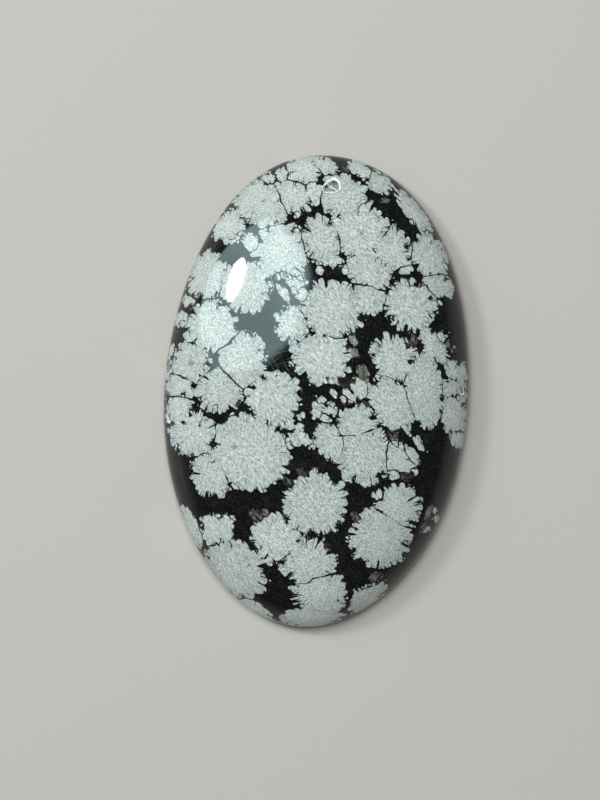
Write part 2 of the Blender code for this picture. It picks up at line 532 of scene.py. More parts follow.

# %% [markdown]
# ## Places of the flakes
# Each flake is a ball of fine needles round a seed. On the dome the balls are set where the photograph shows
# them: column and row of the seed in the picture, then how far the ball reaches, in pixels too. Where a ball looks
# longer than wide, two more numbers say how many times narrower it is, and which way its length points, in degrees.

# %% Flakes seen on the dome
FLAKES_AT_THE_TOP = (
    (303, 170, 18), (293, 196, 20), (312, 192, 12), (323, 164, 17, 2.2, -28), (344, 197, 23),
    (361, 170, 16, 2.0, -38), (379, 182, 15, 1.6, -40), (414, 212, 27, 3.0, -51), (262, 203, 28, 1.15, -35),
    (268, 180, 9, 1.3, -35), (284, 174, 8), (229, 227, 16), (252, 243, 12, 1.5, -50), (279, 252, 27),
    (322, 239, 24, 1.2, -60), (361, 232, 28), (394, 249, 23, 1.25, -60), (430, 257, 23, 1.3, -60),
    (438, 285, 16, 1.4, -25), (370, 272, 24, 1.4, -30), (368, 298, 17), (411, 306, 26), (207, 275, 25, 1.25, 65),
    (246, 287, 26), (284, 293, 12, 2.6, -55), (297, 282, 11, 1.2, -20), (295, 290, 8, 2.2, -75),
    (303, 293, 10, 1.8, -85), (331, 311, 31), (293, 325, 18), (405, 269, 8, 1.5, 0), (189, 302, 7),
    (335, 261, 8, 1.2, -20), (319, 271, 3.5), (346, 270, 5, 1.5, -50), (357, 310, 7, 1.4, -50), (439, 302, 2.5),
)
FLAKES_AT_THE_LEFT = (
    (211, 327, 28), (181, 319, 8), (171, 352, 8, 1.6, 88), (169, 374, 8, 1.6, 90), (191, 363, 22), (180, 386, 15),
    (242, 361, 26), (219, 389.5, 23), (273.5, 398.5, 27.5), (178, 409, 15), (193, 435, 23),
    (248.5, 452.5, 40.3, 1.12, -35), (210, 476, 24, 1.35, -48), (298, 393, 4), (301, 417, 4),
    (301, 427, 5.5, 1.5, -20), (289, 424, 6, 1.4, -30), (292, 442, 7.5), (303, 438, 9, 2.0, -35), (313, 448, 3),
    (319.5, 404, 6.5), (316, 413, 4.5), (326, 417.5, 5), (329, 410, 7), (315, 396, 2.5), (334, 394, 4.5, 1.3, -40),
)
FLAKES_AT_THE_RIGHT = (
    (322.5, 356.5, 29.5, 1.08, 0), (394, 358.5, 24.5, 1.12, -60),
    (424, 389, 38, 2.0, -85), (391, 404, 31, 1.55, -50), (360, 389, 12, 1.6, -50), (349, 396, 9, 2.6, -52),
    (344, 400, 6, 2.0, -45), (358, 423, 20.5), (364, 454, 29), (331, 442, 22, 1.6, -50), (398, 459, 20, 1.25, -45),
    (410, 455, 13, 2.2, -50), (396, 445, 9, 2.4, -50), (395, 473, 9, 1.6, -20), (412, 470, 5),
    (419, 444, 8, 2.2, -60), (433, 347, 22, 2.1, -50), (427, 332, 5.5, 1.3, -60), (441, 338, 5.5), (398, 342, 4),
    (453, 370, 11, 1.4, -60), (462, 372, 10, 1.8, -80), (450, 388, 10.5), (461, 392, 11, 1.6, -85),
    (455, 416, 21, 1.5, -85), (458, 437, 13, 1.7, -80),
)
FLAKES_AT_THE_BOTTOM = (
    (316.5, 503.2, 32.5), (275, 538, 25), (216, 529, 17), (191, 527, 22, 3.0, -63), (235, 571, 32, 1.1, -48),
    (255, 610, 19, 2.4, -33), (308, 563, 27), (321, 594.5, 28.5, 1.3, 0), (312, 618, 32, 3.0, 3), (398, 508, 22),
    (380, 496, 7.5, 1.2, -30), (381, 537.5, 31), (367, 600, 22, 1.6, 35), (433, 511, 6, 1.6, 60),
    (427, 528, 5, 1.5, 50), (436, 519, 4),
)
BURIED_FLAKES = (
    (364, 374, 8, 1.6, -60, 0.4), (354, 382, 8, 2.0, -25, 0.85), (413, 341, 6, 1.5, -80, 0.5),
    (447, 343, 4, 1.4, -60, 0.5), (452, 350, 3.5, 1.2, 0, 0.3), (353, 339, 5.5, 1.6, -75, 0.25),
    (353, 353, 5, 1.6, 90, 0.35), (391, 437, 8, 1.7, -45, 0.6), (384, 447, 6, 1.5, -50, 0.7),
    (404, 475, 9, 1.8, -15, 0.6), (291, 484, 7, 1.5, -50, 0.6), (257, 516, 8, 1.4, -40, 0.55),
    (266, 514, 6, 1.6, -60, 0.5), (304, 474, 9, 2.4, -35, 0.75), (384, 200, 4, 1.6, 0, 0.55),
    (344, 167, 4.5, 1.5, -40, 0.6), (357, 519, 7, 1.7, -50, 0.6), (326, 548, 6, 1.3, -60, 0.85),
    (366, 404, 3.5, 1.2, 0, 0.7), (430, 512, 7, 1.6, 60, 0.4), (425, 528, 6, 1.6, 50, 0.5),
    (345, 385, 7, 2.4, -25, 0.9), (376, 578, 6, 1.3, 20, 0.45), (238, 482, 6, 1.5, -30, 0.85),
)
flake_rows = FLAKES_AT_THE_TOP + FLAKES_AT_THE_LEFT + FLAKES_AT_THE_RIGHT + FLAKES_AT_THE_BOTTOM + BURIED_FLAKES
print("rows of flakes:", len(flake_rows))

# %% [markdown]
# ### Seed, reach and frame
# Each row becomes a seed on the dome, a reach in millimetres, and a frame of three ways: along the flake, across it
# and out of the face. A narrow flake has its frame stretched across, so that one plain ball can stand for all.

# %% Set the flakes
def flake_frame(long_way, narrowness, normal):
    """Turns a way in the stone into one along the flake, across it and out of the face, stretched across."""
    return np.array((
        (math.cos(long_way), math.sin(long_way), 0),
        (-math.sin(long_way) * narrowness, math.cos(long_way) * narrowness, 0),
        normal,
    ))


centres, reaches, frames, buried = [], [], [], []


def place_flake(column, row, reach, narrowness=1.0, degrees=0.0, below=0.0):
    """Sets one flake on the dome, where the picture shows it."""
    centre = dome_point(column, row)
    centres.append(centre / MM)
    reaches.append(reach / PIXELS_PER_MM)
    frames.append(flake_frame(math.radians(degrees) + LEAN, narrowness, dome_normal(centre.x, centre.y)))
    buried.append(below)


for flake_row in flake_rows:
    place_flake(*flake_row)
print("flakes placed by eye:", len(centres))

# %% [markdown]
# ## Flakes of the back
# The photograph doesn't show the back, but the crystals fill the whole stone. A second tree scatters seeds over the
# back at random, a few millimetres apart, and gives each a reach between that of a small and a large flake.

# %% Tree that scatters the hidden seeds
FACING_DOWN = -0.2
SEEDS_PER_SQUARE_METRE = 400000.0

scatter, given = new_tree(
    "scatter seeds",
    "GeometryNodeTree",
    {"Stone": "Geometry", "Least distance": "Float", "Least reach": "Float", "Most reach": "Float", "Seed": "Int"},
    {"Seeds": "Geometry"},
)
facing = add(scatter, SPLIT, add(scatter, "GeometryNodeInputNormal"), out=None)["Z"]
on_back = add(scatter, "FunctionNodeCompare", facing, FACING_DOWN, op="LESS_THAN", data_type="FLOAT")
seeds = add(
    scatter,
    "GeometryNodeDistributePointsOnFaces",
    {
        "Mesh": given["Stone"],
        "Selection": on_back,
        "Distance Min": given["Least distance"],
        "Density Max": SEEDS_PER_SQUARE_METRE,
        "Seed": given["Seed"],
    },
    distribute_method="POISSON",
)
reach = add(
    scatter,
    "FunctionNodeRandomValue",
    {"Min": given["Least reach"], "Max": given["Most reach"], "Seed": given["Seed"]},
    data_type="FLOAT",
)
named = add(
    scatter,
    "GeometryNodeStoreNamedAttribute",
    {"Geometry": seeds, "Name": "reach", "Value": reach},
    data_type="FLOAT",
    domain="POINT",
)
as_vertices = add(scatter, "GeometryNodePointsToVertices", {"Points": named})
real = add(scatter, "GeometryNodeRealizeInstances", as_vertices)
plain = add(scatter, "GeometryNodeSetMaterial", {"Geometry": real})
add(scatter, "NodeGroupOutput", plain)
print("scattering tree:", len(scatter.nodes), "nodes")

# %% [markdown]
# ### Hidden flakes stay hidden
# A flake of the back is a ball too, and a large one could come out through the dome and change the face that the
# photograph shows. Each is held back by its distance from the dome, less some room for its lobes, and one that would
# become tiny is left out.

# %% Seeds of the back
LOBE_ROOM = 0.45
LUMP_ROOM = 1.15
LEAST_HIDDEN_REACH = 0.35
LEAST_UPWARD = 0.12

seed_mesh = apply_tree(
    stone,
    scatter,
    {"Least distance": 3.3 * MM, "Least reach": 1.4 * MM, "Most reach": 3.4 * MM, "Seed": 7},
)
seen = [v.co for v in stone_mesh.vertices if v.normal.z > LEAST_UPWARD]
face_of_stone = KDTree(len(seen))
for i, co in enumerate(seen):
    face_of_stone.insert(co, i)
face_of_stone.balance()
placed_by_eye = len(centres)
generator = np.random.default_rng(12)
for vertex, value in zip(seed_mesh.vertices, seed_mesh.attributes["reach"].data):
    room = face_of_stone.find(vertex.co)[2] / MM - LOBE_ROOM
    reach = min(value.value / MM, room / LUMP_ROOM)
    if reach > LEAST_HIDDEN_REACH:
        long_way = generator.uniform(-math.pi, math.pi)
        centres.append(vertex.co / MM)
        reaches.append(reach)
        frames.append(flake_frame(long_way, generator.uniform(1.0, 1.3), (0, 0, 1)))
        buried.append(0.0)
print("hidden flakes on the back:", len(centres) - placed_by_eye)

# %% [markdown]
# ## Which flakes a point can belong to
# The pattern has to be far finer than the net, so the net doesn't hold the pattern itself. Each triangle only stores
# its three strongest flakes: the way from the seed to each corner, how far the flake reaches, a chance number of
# its own, and how deep it lies. These run evenly across a triangle, so the finish can draw sharp edges from them.

# %% Store the three strongest flakes
centres = np.array(centres, dtype=np.float64)
reaches = np.array(reaches)
frames = np.array(frames)
chances = generator.uniform(0, 1, len(centres))
buried = np.array(buried)

corner_count = len(stone_mesh.loops)
corner_vertex = np.empty(corner_count, dtype=np.int32)
stone_mesh.loops.foreach_get("vertex_index", corner_vertex)
vertex_place = np.empty(len(stone_mesh.vertices) * 3)
stone_mesh.vertices.foreach_get("co", vertex_place)
corner_place = vertex_place.reshape(-1, 3)[corner_vertex] / MM
face_place = corner_place.reshape(-1, 3, 3).mean(axis=1)

strength = np.empty((len(face_place), len(centres)), dtype=np.float32)
for number in range(len(centres)):
    way = (face_place - centres[number]) @ frames[number].T
    strength[:, number] = reaches[number] - np.linalg.norm(way, axis=1)
strongest = np.argsort(-strength, axis=1)[:, :3]
for slot in range(3):
    chosen = np.repeat(strongest[:, slot], 3)
    way = np.einsum("nij,nj->ni", frames[chosen], corner_place - centres[chosen])
    nature = np.stack((reaches[chosen], chances[chosen], buried[chosen]), axis=1)
    for name, values in (("way", way), ("nature", nature)):
        layer = stone_mesh.attributes.new(f"flake_{name}_{slot + 1}", "FLOAT_VECTOR", "CORNER")
        layer.data.foreach_set("vector", values.astype(np.float32).ravel())
print("flakes stored for", len(face_place), "triangles")

# %% [markdown]
# ## Colours
# Colours are picked as sRGB hex values, the way a colour picker shows them, and one function turns them into the
# linear values that the renderer works with.


# %% Colour helper
def linear(hex_code):
    """Linear red, green, blue and alpha of an sRGB hex colour."""
    parts = [int(hex_code[i : i + 2], 16) / 255 for i in (1, 3, 5)]
    return (*[p / 12.92 if p <= 0.04045 else ((p + 0.055) / 1.055) ** 2.4 for p in parts], 1.0)


print("middle grey, linear:", round(linear("#808080")[0], 3))

# %% [markdown]
# ## One flake
# The group below takes one stored flake and says how deep a point lies inside it, in millimetres: its reach, made
# uneven by slow noise, minus the distance from the seed. The needles grow out in bundles about half a millimetre wide.
# Each bundle is a cell of noise and ends in a round cap like a petal, a little ahead of or behind the next, and
# lower in a small flake. The group also gives the room up to the side of the bundle, where slits of glass open, the
# share of the way out, and a tone for needles that fan out from the seed.

# %% Group for one flake
CHANCE_SHIFT = (37.0, 91.0, 53.0)
LUMP_SCALE = 1.35
LUMP = 0.12
BUNDLE_WIDTH = 0.60
BUNDLE_STEP = 0.20
BUNDLE_CAP = 0.34
BUNDLE_CAP_RADIUS = 0.66
FAN_WIDTH = 0.10
FAN_LENGTH = 0.5
FLOAT, VECTOR = "Float", "Vector"
flake, given = new_tree(
    "one flake",
    "ShaderNodeTree",
    {"Way": VECTOR, "Reach": FLOAT, "Chance": FLOAT},
    {"Depth": FLOAT, "Body": FLOAT, "Slit": FLOAT, "Share": FLOAT, "Fan": FLOAT},
)


def round_cap(tree, distance, radius):
    """Height of a half ball at this distance from its axis: 1 in the middle, 0 from its radius on."""
    part = add(tree, RANGE, distance, 0.0, radius, 0.0, 1.0)
    square = add(tree, MATH, part, part, op="MULTIPLY")
    return add(tree, MATH, add(tree, MATH, 1.0, square, op="SUBTRACT"), op="SQRT")


distance = add(flake, VECTOR_MATH, given["Way"], op="LENGTH", out="Value")
direction = add(flake, VECTOR_MATH, given["Way"], op="NORMALIZE")
chance_shift = add(flake, VECTOR_MATH, CHANCE_SHIFT, {"Scale": given["Chance"]}, op="SCALE")

lump_place = add(flake, VECTOR_MATH, direction, (LUMP_SCALE,) * 3, chance_shift, op="MULTIPLY_ADD")
lump = add(flake, NOISE, {"Vector": lump_place, "Scale": 1.0, "Detail": 2.0, "Roughness": 0.5})
lump = add(flake, RANGE, lump, 0.25, 0.75, -LUMP, LUMP)
body = add(flake, MATH, given["Reach"], lump, given["Reach"], op="MULTIPLY_ADD")

bundle_count = add(flake, MATH, given["Reach"], BUNDLE_WIDTH, op="DIVIDE")
bundle_place = add(flake, VECTOR_MATH, direction, {"Scale": bundle_count}, op="SCALE")
bundle_place = add(flake, VECTOR_MATH, bundle_place, chance_shift, op="ADD")
bundle = add(flake, VORONOI, {"Vector": bundle_place, "Scale": 1.0}, out=None)
small = add(flake, RANGE, given["Reach"], 0.2, 1.6, 0.35, 1.0)
bundle_end = add(flake, RED, bundle["Color"])
bundle_end = add(flake, RANGE, bundle_end, 0.0, 1.0, -0.5 * BUNDLE_STEP, 0.5 * BUNDLE_STEP)
bundle_cap = round_cap(flake, bundle["Distance"], BUNDLE_CAP_RADIUS)
bundle_end = add(flake, MATH, bundle_cap, BUNDLE_CAP, bundle_end, op="MULTIPLY_ADD")
bundle_end = add(flake, MATH, bundle_end, 0.38 * BUNDLE_CAP, op="SUBTRACT")
outer = add(flake, MATH, bundle_end, small, body, op="MULTIPLY_ADD")
bundle_side = add(flake, VORONOI, {"Vector": bundle_place, "Scale": 1.0}, feature="DISTANCE_TO_EDGE")
slit_closed = add(flake, RANGE, given["Reach"], 0.4, 2.0, 0.14, 0.0)
slit = add(flake, MATH, bundle_side, BUNDLE_WIDTH, slit_closed, op="MULTIPLY_ADD")
depth = add(flake, MATH, outer, distance, op="SUBTRACT")
body = add(flake, MATH, body, distance, op="SUBTRACT")

share = add(flake, MATH, distance, given["Reach"], op="DIVIDE")
fan_count = add(flake, MATH, given["Reach"], FAN_WIDTH, op="DIVIDE")
fan_way = add(flake, VECTOR_MATH, direction, {"Scale": fan_count}, op="SCALE")
fan_parts = add(flake, SPLIT, fan_way, out=None)
fan_along = add(flake, MATH, distance, FAN_LENGTH, op="DIVIDE")
fan_place = add(flake, COMBINE, fan_parts["X"], fan_parts["Y"], fan_along)
fan_place = add(flake, VECTOR_MATH, fan_place, chance_shift, op="ADD")
fan = add(flake, NOISE, {"Vector": fan_place, "Scale": 1.0, "Detail": 2.0, "Roughness": 0.6})
add(flake, "NodeGroupOutput", depth, body, slit, share, fan)
print("flake group:", len(flake.nodes), "nodes")

# %% [markdown]
# ## Snowflake obsidian
# Obsidian is volcanic glass: near black, dense and, once polished, as glossy as window glass, with an IOR near 1.49.
# The flakes are cristobalite, a pale grey silica mineral, ground flush with the glass and almost as glossy. To the
# eye the stone is a black mirror with matt-looking pale rosettes under one even shine.
# The first step asks the three stored flakes how deep the point is in each, and which of them owns it.

# %% Which flake, and how deep in it
GRAIN_WAY = math.radians(-50) + LEAN
obsidian.use_nodes = True
tree = obsidian.node_tree
tree.nodes.clear()

object_place = add(tree, "ShaderNodeTexCoord", out="Object")
place = add(tree, VECTOR_MATH, object_place, {"Scale": 1 / MM}, op="SCALE")
grain_place = add(tree, "ShaderNodeMapping", {"Vector": place, "Rotation": (0, 0, -GRAIN_WAY)})

flakes = []
for slot in (1, 2, 3):
    way = add(tree, "ShaderNodeAttribute", attribute_name=f"flake_way_{slot}", out="Vector")
    nature = add(tree, "ShaderNodeAttribute", attribute_name=f"flake_nature_{slot}", out="Vector")
    reach, chance, below = add(tree, SPLIT, nature, out=None)
    stored = {"Way": way, "Reach": reach, "Chance": chance}
    flakes.append((*add(tree, "ShaderNodeGroup", stored, node_tree=flake, out=None), chance, below))
depths, bodies, slits, shares_out, fans, chances_here, depths_below = zip(*flakes)


def two_largest(values):
    """The largest and the second largest of three values."""
    first_two = add(tree, MATH, values[0], values[1], op="MAXIMUM")
    lesser = add(tree, MATH, values[0], values[1], op="MINIMUM")
    between = add(tree, MATH, first_two, values[2], op="MINIMUM")
    return (
        add(tree, MATH, first_two, values[2], op="MAXIMUM"),
        add(tree, MATH, between, lesser, op="MAXIMUM"),
    )


deepest = two_largest(depths)[0]
body, body_behind = two_largest(bodies)
just_less = add(tree, MATH, deepest, 1e-5, op="SUBTRACT")
owned = [add(tree, MATH, value, just_less, op="GREATER_THAN") for value in depths]


def of_owner(values):
    """The value of the flake that owns the point."""
    total = 0.0
    for owner, value in zip(owned, values):
        total = add(tree, MATH, owner, value, total, op="MULTIPLY_ADD")
    return total


slit_room, share_out, fan = of_owner(slits), of_owner(shares_out), of_owner(fans)
chance, below = of_owner(chances_here), of_owner(depths_below)
print("values of each of the", len(flakes), "stored flakes:", len(flakes[0]))

# %% [markdown]
# ### Lobes
# A flake's edge is lobed. The glass once flowed, so lobes, slits and loose slivers all lean the same way. Cells of
# noise, stretched along that way and slightly bent, each push the edge out in a round cap.

# %% Lobes
LOBE_SIZE = (0.78, 0.50, 0.50)
LOBE_BEND = 0.7
LOBE_STEP = 0.24
LOBE_CAP = 0.24
LOBE_CAP_RADIUS = 0.78
lobe_place = add(tree, VECTOR_MATH, grain_place, [1 / size for size in LOBE_SIZE], op="MULTIPLY")
lobe_bend = add(tree, NOISE, {"Vector": place, "Scale": 1.2, "Detail": 1.0}, out="Color")
lobe_place = add(tree, VECTOR_MATH, lobe_bend, (LOBE_BEND,) * 3, lobe_place, op="MULTIPLY_ADD")
lobes = add(tree, VORONOI, {"Vector": lobe_place, "Scale": 1.0}, out=None)
lobe = add(tree, RANGE, add(tree, RED, lobes["Color"]), 0.0, 1.0, -0.5 * LOBE_STEP, 0.5 * LOBE_STEP)
lobe_cap = round_cap(tree, lobes["Distance"], LOBE_CAP_RADIUS)
lobe = add(tree, MATH, lobe_cap, LOBE_CAP, lobe, op="MULTIPLY_ADD")
lobe = add(tree, MATH, lobe, 0.5 * LOBE_CAP, op="SUBTRACT")
edge = add(tree, MATH, deepest, lobe, op="ADD")
print("lobes, mm:", LOBE_SIZE[0], "by", LOBE_SIZE[1])

# %% [markdown]
# ### Slits and cracks
# Narrow slits of glass run in from the edge between the lobes and between the bundles. Each is a wedge that narrows
# inward, and noise makes some of them longer. Where two flakes meet, a thin jagged line of glass is left, which
# fades out here and there. A soft minimum joins them all, so that no corner is sharper than real crystals show.

# %% Slits and cracks
SLIT_WEDGE = 0.11
SLIT_LENGTH_SPREAD = 2.8
SLIT_LENGTH_START = (-1.12, -1.2, -1.2)
CRACK_WIDTHS = (-0.025, 0.08)
SLIT_SOFTNESS = 0.04
CRACK_SOFTNESS = 0.06
crack_noise = add(tree, NOISE, {"Vector": place, "Scale": 0.42, "Detail": 2.0, "Roughness": 0.6})
crack_width = add(tree, RANGE, crack_noise, 0.38, 0.62, *CRACK_WIDTHS)
gap = add(tree, MATH, body, body_behind, op="SUBTRACT")
gap = add(tree, MATH, gap, 0.5, op="MULTIPLY")
gap = add(tree, MATH, gap, crack_width, op="SUBTRACT")

lobe_side = add(tree, VORONOI, {"Vector": lobe_place, "Scale": 1.0}, feature="DISTANCE_TO_EDGE")
lobe_side = add(tree, MATH, lobe_side, LOBE_SIZE[1], op="MULTIPLY")
lengths = add(tree, NOISE, {"Vector": place, "Scale": 1.1, "Detail": 0.0}, out="Color")
spread = (SLIT_LENGTH_SPREAD,) * 3
lengths = add(tree, VECTOR_MATH, lengths, spread, SLIT_LENGTH_START, op="MULTIPLY_ADD")
lengths = add(tree, SPLIT, lengths, out=None)
inside = edge
for room, length in ((slit_room, lengths["X"]), (lobe_side, lengths["Y"])):
    wedge = add(tree, MATH, add(tree, MATH, length, edge, op="SUBTRACT"), SLIT_WEDGE, op="MULTIPLY")
    slit = add(tree, MATH, room, wedge, op="SUBTRACT")
    inside = add(tree, MATH, inside, slit, SLIT_SOFTNESS, op="SMOOTH_MIN")
inside = add(tree, MATH, inside, gap, CRACK_SOFTNESS, op="SMOOTH_MIN")
print("widest crack, mm:", 2 * CRACK_WIDTHS[1])

# %% [markdown]
# ### Loose blobs
# Just outside the flakes lie loose blobs, the tips of crystals that the polished face only grazes. They are the larger
# ones of a set of small balls, and they are left out further from the flakes.

# %% Loose blobs
BLOB_SPACING = 0.62
blobs = add(tree, VORONOI, {"Vector": place, "Scale": 1 / BLOB_SPACING}, out=None)
blob_distance = add(tree, MATH, blobs["Distance"], BLOB_SPACING, op="MULTIPLY")
blob_size = add(tree, RANGE, add(tree, RED, blobs["Color"]), 0.62, 1.0, -0.05, 0.21)
blob_depth = add(tree, MATH, blob_size, blob_distance, op="SUBTRACT")
blob_zone = add(tree, RANGE, edge, -0.75, -0.35, -0.4, 0.0)
blob_depth = add(tree, MATH, blob_depth, blob_zone, op="ADD")
inside = add(tree, MATH, inside, blob_depth, op="MAXIMUM")
print("blobs stand about", BLOB_SPACING, "mm apart")

# %% [markdown]
# ### How much of a flake shows
# At the face a flake ends in a sharp edge. One that lies below it shines through the dark glass: its edge is softer,
# it covers less, and it looks mottled, because only its highest needles come close to the face.

# %% Mask of the flakes
MOTTLE_SIZE = (0.5, 0.25, 0.25)
mask_start = add(tree, MATH, below, -0.12, -0.02, op="MULTIPLY_ADD")
mask_end = add(tree, MATH, below, 0.16, 0.03, op="MULTIPLY_ADD")
flake_mask = add(tree, RANGE, inside, mask_start, mask_end, 0.0, 1.0, interpolation_type="SMOOTHSTEP")
mottle_place = add(tree, VECTOR_MATH, grain_place, [1 / size for size in MOTTLE_SIZE], op="MULTIPLY")
mottle = add(tree, NOISE, {"Vector": mottle_place, "Scale": 1.0, "Detail": 3.0, "Roughness": 0.65})
mottle = add(tree, RANGE, mottle, 0.40, 0.62, 0.0, 1.0)
mottled = add(tree, RANGE, below, 0.1, 0.5, 0.0, 1.0)
thin = add(tree, RANGE, below, 0.1, 1.0, 1.0, 0.10)
thin_and_mottled = add(tree, MATH, thin, mottle, op="MULTIPLY")
cover = add(tree, MIX, mottled, thin, thin_and_mottled, data_type="FLOAT")
flake_mask = add(tree, MATH, flake_mask, cover, op="MULTIPLY")
print("nodes so far:", len(tree.nodes))

# %% [markdown]
# ### Hairline scratches
# A stone that is handled picks up hairline scratches, which are thinner than a hair and drawn here about as wide as
# one pixel. Noise stretched far along one direction breaks into short straight streaks. Three directions are laid
# over one another, at the one place of the dome that is worn, near where the window is mirrored. Their pale tone
# further down is partly their own and partly painted light: a painted glint of the window caught in the scratches.

# %% Scratches
SCRATCH_WAYS = (-40, -18, 55)
SCRATCH_LENGTH = 2.2
SCRATCH_SPACING = 0.15
streaks = (1 / SCRATCH_LENGTH, 1 / SCRATCH_SPACING, 0)
scratched = 0.0
for degrees in SCRATCH_WAYS:
    turned = {"Vector": place, "Location": (degrees, 0, 0), "Rotation": (0, 0, math.radians(degrees))}
    line_place = add(tree, VECTOR_MATH, add(tree, "ShaderNodeMapping", turned), streaks, op="MULTIPLY")
    line = add(tree, NOISE, {"Vector": line_place, "Scale": 1.0, "Detail": 0.0})
    line = add(tree, RANGE, line, 0.66, 0.72, 0.0, 1.0)
    scratched = add(tree, MATH, line, scratched, op="MAXIMUM")
worn = add(tree, "ShaderNodeAttribute", attribute_name="worn", out="Fac")
scratched = add(tree, MATH, scratched, worn, op="MULTIPLY")
print("ways of the scratches, degrees:", SCRATCH_WAYS)

# %% [markdown]
# ### Colour of the flakes
# Seen close, a flake is a felt of pale needles that mostly lie along the old flow. Real ones are a few hundredths
# of a millimetre wide, and are drawn about twice as coarse so that they show. The middle of a flake is brighter and
# slightly yellowish, its rim slightly blue, because thin needles scatter blue light. Buried flakes look brownish,
# because the glass over them is a brown filter.

# %% Colour of the flakes
NEEDLE_SIZE = (0.34, 0.060, 0.060)
FLAKE_MIDDLE, FLAKE_RIM, BURIED_FLAKE = linear("#bfc7c2"), linear("#b1bfc0"), linear("#8c866c")
needle_place = add(tree, VECTOR_MATH, grain_place, [1 / size for size in NEEDLE_SIZE], op="MULTIPLY")
needles = add(tree, NOISE, {"Vector": needle_place, "Scale": 1.0, "Detail": 2.0, "Roughness": 0.65})
weave = add(tree, MATH, fan, 0.30, op="MULTIPLY")
weave = add(tree, MATH, needles, 0.70, weave, op="MULTIPLY_ADD")
weave = add(tree, RANGE, weave, 0.39, 0.59, 0.36, 1.50)
own_tone = add(tree, RANGE, chance, 0.0, 1.0, 0.96, 1.05)
rim_tone = add(tree, RANGE, share_out, 0.2, 1.0, 1.00, 0.95)
heart = add(tree, "ShaderNodeAttribute", attribute_name="heart", out="Fac")
heart_tone = add(tree, RANGE, heart, 0.0, 1.0, 1.0, 0.5)
tone = weave
for factor in (own_tone, rim_tone, heart_tone):
    tone = add(tree, MATH, tone, factor, op="MULTIPLY")

middle_to_rim = add(tree, RANGE, share_out, 0.1, 0.95, 0.3, 1.0)
lightness = add(tree, RANGE, weave, 0.5, 1.4, 0.3, -0.3)
middle_to_rim = add(tree, MATH, middle_to_rim, lightness, op="ADD")
flake_colour = add(tree, MIX, middle_to_rim, FLAKE_MIDDLE, FLAKE_RIM, data_type="RGBA")
brownness = add(tree, RANGE, below, 0.0, 0.8, 0.0, 1.0)
flake_colour = add(tree, MIX, brownness, flake_colour, BURIED_FLAKE, data_type="RGBA")
flake_colour = add(tree, VECTOR_MATH, flake_colour, {"Scale": tone}, op="SCALE")
print("needles, mm:", NEEDLE_SIZE[0], "by", NEEDLE_SIZE[1])

# %% [markdown]
# ### Colour of the glass and of the damage
# The glass is black, with a greenish haze and fine grey specks where crystals are only starting. Scratches, the clean
# break of the chip and its crushed lip each lay a paler tone over it: crushed glass is white for the same reason
# as snow, because light is turned back at its many small faces. The scratches' pale tone is partly their own and
# partly a painted glint of the window's light.

# %% Colour of the glass and of the damage
BLACK_GLASS, HAZY_GLASS, SPECK, SCRATCH_AND_GLINT = (linear(code) for code in ("#060606", "#20241f", "#2e3433", "#4c5556"))
BROKEN_GLASS, CRUSHED_GLASS = linear("#414b48"), linear("#eaf3ef")
SPECK_SIZE = 0.13
haze = add(tree, NOISE, {"Vector": place, "Scale": 0.9, "Detail": 4.0, "Roughness": 0.7})
haze = add(tree, RANGE, haze, 0.50, 0.78, 0.0, 1.0)
glass_colour = add(tree, MIX, haze, BLACK_GLASS, HAZY_GLASS, data_type="RGBA")
specks = add(tree, NOISE, {"Vector": place, "Scale": 1 / SPECK_SIZE, "Detail": 1.0, "Roughness": 0.6})
specks = add(tree, RANGE, specks, 0.50, 0.80, 0.0, 1.0)
glass_colour = add(tree, MIX, specks, glass_colour, SPECK, data_type="RGBA")
# Scratch tone: partly the scratches' own pale tone, partly a painted glint of the window's light they catch.
scratch_and_glint_share = add(tree, MATH, scratched, 0.5, op="MULTIPLY")
glass_colour = add(tree, MIX, scratch_and_glint_share, glass_colour, SCRATCH_AND_GLINT, data_type="RGBA")
colour = add(tree, MIX, flake_mask, glass_colour, flake_colour, data_type="RGBA")
scar = add(tree, "ShaderNodeAttribute", attribute_name="scar", out="Fac")
lip = add(tree, "ShaderNodeAttribute", attribute_name="lip", out="Fac")
ribs = add(tree, RANGE, needles, 0.4, 0.6, 1.0, 0.2)
scar_share = add(tree, MATH, scar, ribs, op="MULTIPLY")
colour = add(tree, MIX, scar_share, colour, BROKEN_GLASS, data_type="RGBA")
crushing = add(tree, MATH, needles, 1.2, -0.6, op="MULTIPLY_ADD")
lip_share = add(tree, RANGE, add(tree, MATH, lip, crushing, op="ADD"), 0.25, 0.8, 0.0, 0.9)
colour = add(tree, MIX, lip_share, colour, CRUSHED_GLASS, data_type="RGBA")
print("nodes so far:", len(tree.nodes))

# %% [markdown]
# ### Polish
# The glass takes a mirror polish. The flakes are a felt of needles, so they come out a little less smooth, and
# damage is rougher still. The IOR sets how strongly such a surface mirrors, and for obsidian it is near 1.49.

# %% Finish
GLASS_IOR = 1.49
GLASS_ROUGHNESS = 0.035
FLAKE_ROUGHNESS = 0.06
roughness = add(tree, RANGE, flake_mask, 0.0, 1.0, GLASS_ROUGHNESS, FLAKE_ROUGHNESS)
for damage, added in ((lip_share, 0.4), (scar, 0.15), (scratched, 0.08)):
    roughness = add(tree, MATH, damage, added, roughness, op="MULTIPLY_ADD")
polish = {"Base Color": colour, "Roughness": roughness, "IOR": GLASS_IOR}
add(tree, "ShaderNodeOutputMaterial", add(tree, "ShaderNodeBsdfPrincipled", polish))
print("obsidian:", len(tree.nodes), "nodes")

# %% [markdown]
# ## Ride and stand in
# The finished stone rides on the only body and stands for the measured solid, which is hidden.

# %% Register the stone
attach(stone, "root")
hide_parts("cabochon")
print("stone rides on the root and stands for the measured solid")

# %% [markdown]
# ## Floor
# A plain pale floor under the stone, wide enough to fill the picture from any side. It has a matt paint, which
# scatters light evenly, so that it shows the stone's shadow and no mirror image that would draw the eye.

